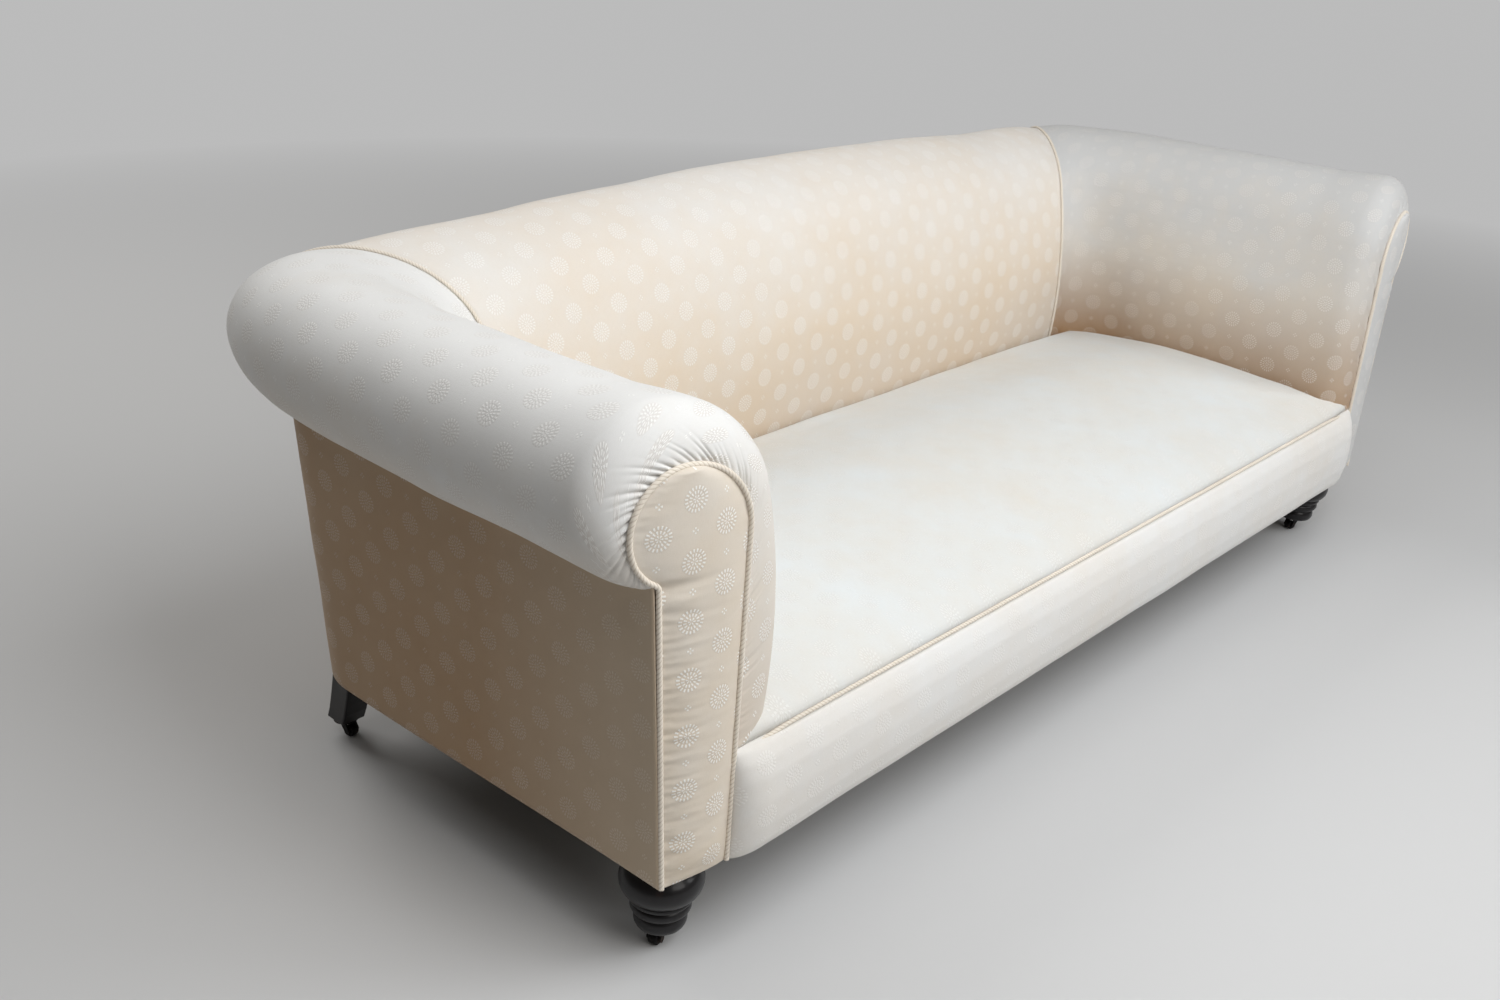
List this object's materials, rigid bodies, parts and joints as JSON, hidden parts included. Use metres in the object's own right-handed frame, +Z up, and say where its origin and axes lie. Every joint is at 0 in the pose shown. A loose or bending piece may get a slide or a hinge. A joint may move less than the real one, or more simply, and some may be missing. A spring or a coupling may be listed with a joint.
{
  "type": "chesterfield sofa",
  "caption": "Low upholstered sofa with arms and back in one continuous outward scroll roll, corded scroll facings, a fixed sprung seat, turned front feet and castors.",
  "frame": {"origin": "on the floor below the middle of the sofa's box", "axes": "X along the sofa to the right of someone facing it, -Y out of the front, Z up"},
  "size_m": [2.036, 0.8406, 0.702],
  "materials": {
    "beech": "planed beech",
    "webbing": "jute webbing",
    "spring_steel": "coppered spring wire",
    "hessian": "coarse hessian",
    "black_cloth": "thin black cotton",
    "stuffing": "hair and wadding under calico",
    "damask": "cream woven damask",
    "cord": "twisted cord",
    "ebonised_wood": "ebonised and polished",
    "castor_metal": "dark worn metal",
    "wheel_metal": "dark worn metal"
  },
  "bodies": {
    "sofa": {"front_seat_rail": "beech", "back_seat_rail": "beech", "left_end_rail": "beech", "right_end_rail": "beech", "seat_corner_blocks": "beech", "seat_cross_braces": "beech", "left_front_post": "beech", "right_front_post": "beech", "left_back_post": "beech", "right_back_post": "beech", "left_arm_rail": "beech", "right_arm_rail": "beech", "back_top_rail": "beech", "back_uprights": "beech", "tacking_rails": "beech", "frame_dowels": "beech", "seat_webbing": "webbing", "side_webbing": "webbing", "seat_springs": "spring_steel", "spring_hessian": "hessian", "dust_cover": "black_cloth", "seat_stuffing": "stuffing", "back_stuffing": "stuffing", "left_arm_stuffing": "stuffing", "right_arm_stuffing": "stuffing", "front_border_stuffing": "stuffing", "seat_cover": "damask", "front_border_cover": "damask", "inside_back_cover": "damask", "left_inside_arm_cover": "damask", "right_inside_arm_cover": "damask", "left_front_facing": "damask", "right_front_facing": "damask", "left_outside_arm_cover": "damask", "right_outside_arm_cover": "damask", "outside_back_cover": "damask", "left_facing_cord": "cord", "right_facing_cord": "cord", "seat_edge_cord": "cord", "left_corner_cord": "cord", "right_corner_cord": "cord", "left_front_foot": "ebonised_wood", "right_front_foot": "ebonised_wood", "left_back_leg": "ebonised_wood", "right_back_leg": "ebonised_wood", "castor_plates": "castor_metal", "castor_screws": "castor_metal"},
    "front_left_castor": {"front_left_castor_horn": "castor_metal", "front_left_castor_axle": "castor_metal"},
    "front_left_wheel": {"front_left_castor_wheel": "wheel_metal"},
    "front_right_castor": {"front_right_castor_horn": "castor_metal", "front_right_castor_axle": "castor_metal"},
    "front_right_wheel": {"front_right_castor_wheel": "wheel_metal"},
    "back_left_castor": {"back_left_castor_horn": "castor_metal", "back_left_castor_axle": "castor_metal"},
    "back_left_wheel": {"back_left_castor_wheel": "wheel_metal"},
    "back_right_castor": {"back_right_castor_horn": "castor_metal", "back_right_castor_axle": "castor_metal"},
    "back_right_wheel": {"back_right_castor_wheel": "wheel_metal"}
  },
  "joints": [
    {"name": "front_left_swivel", "type": "hinge", "parent": "sofa", "child": "front_left_castor", "pos_m": [-0.868, -0.325, 0.021], "axis": [0, 0, 1], "continuous": true},
    {"name": "front_left_wheel_spin", "type": "hinge", "parent": "front_left_castor", "child": "front_left_wheel", "pos_m": [-0.87766, -0.32759, 0.0085], "axis": [0.2588, -0.9659, 0], "continuous": true},
    {"name": "front_right_swivel", "type": "hinge", "parent": "sofa", "child": "front_right_castor", "pos_m": [0.868, -0.325, 0.021], "axis": [0, 0, 1], "continuous": true},
    {"name": "front_right_wheel_spin", "type": "hinge", "parent": "front_right_castor", "child": "front_right_wheel", "pos_m": [0.85834, -0.32241, 0.0085], "axis": [-0.2588, -0.9659, 0], "continuous": true},
    {"name": "back_left_swivel", "type": "hinge", "parent": "sofa", "child": "back_left_castor", "pos_m": [-0.884, 0.286, 0.021], "axis": [0, 0, 1], "continuous": true},
    {"name": "back_left_wheel_spin", "type": "hinge", "parent": "back_left_castor", "child": "back_left_wheel", "pos_m": [-0.88226, 0.27615, 0.0085], "axis": [0.9848, 0.1736, 0], "continuous": true},
    {"name": "back_right_swivel", "type": "hinge", "parent": "sofa", "child": "back_right_castor", "pos_m": [0.884, 0.286, 0.021], "axis": [0, 0, 1], "continuous": true},
    {"name": "back_right_wheel_spin", "type": "hinge", "parent": "back_right_castor", "child": "back_right_wheel", "pos_m": [0.88058, 0.2766, 0.0085], "axis": [0.9397, -0.342, 0], "continuous": true}
  ]
}
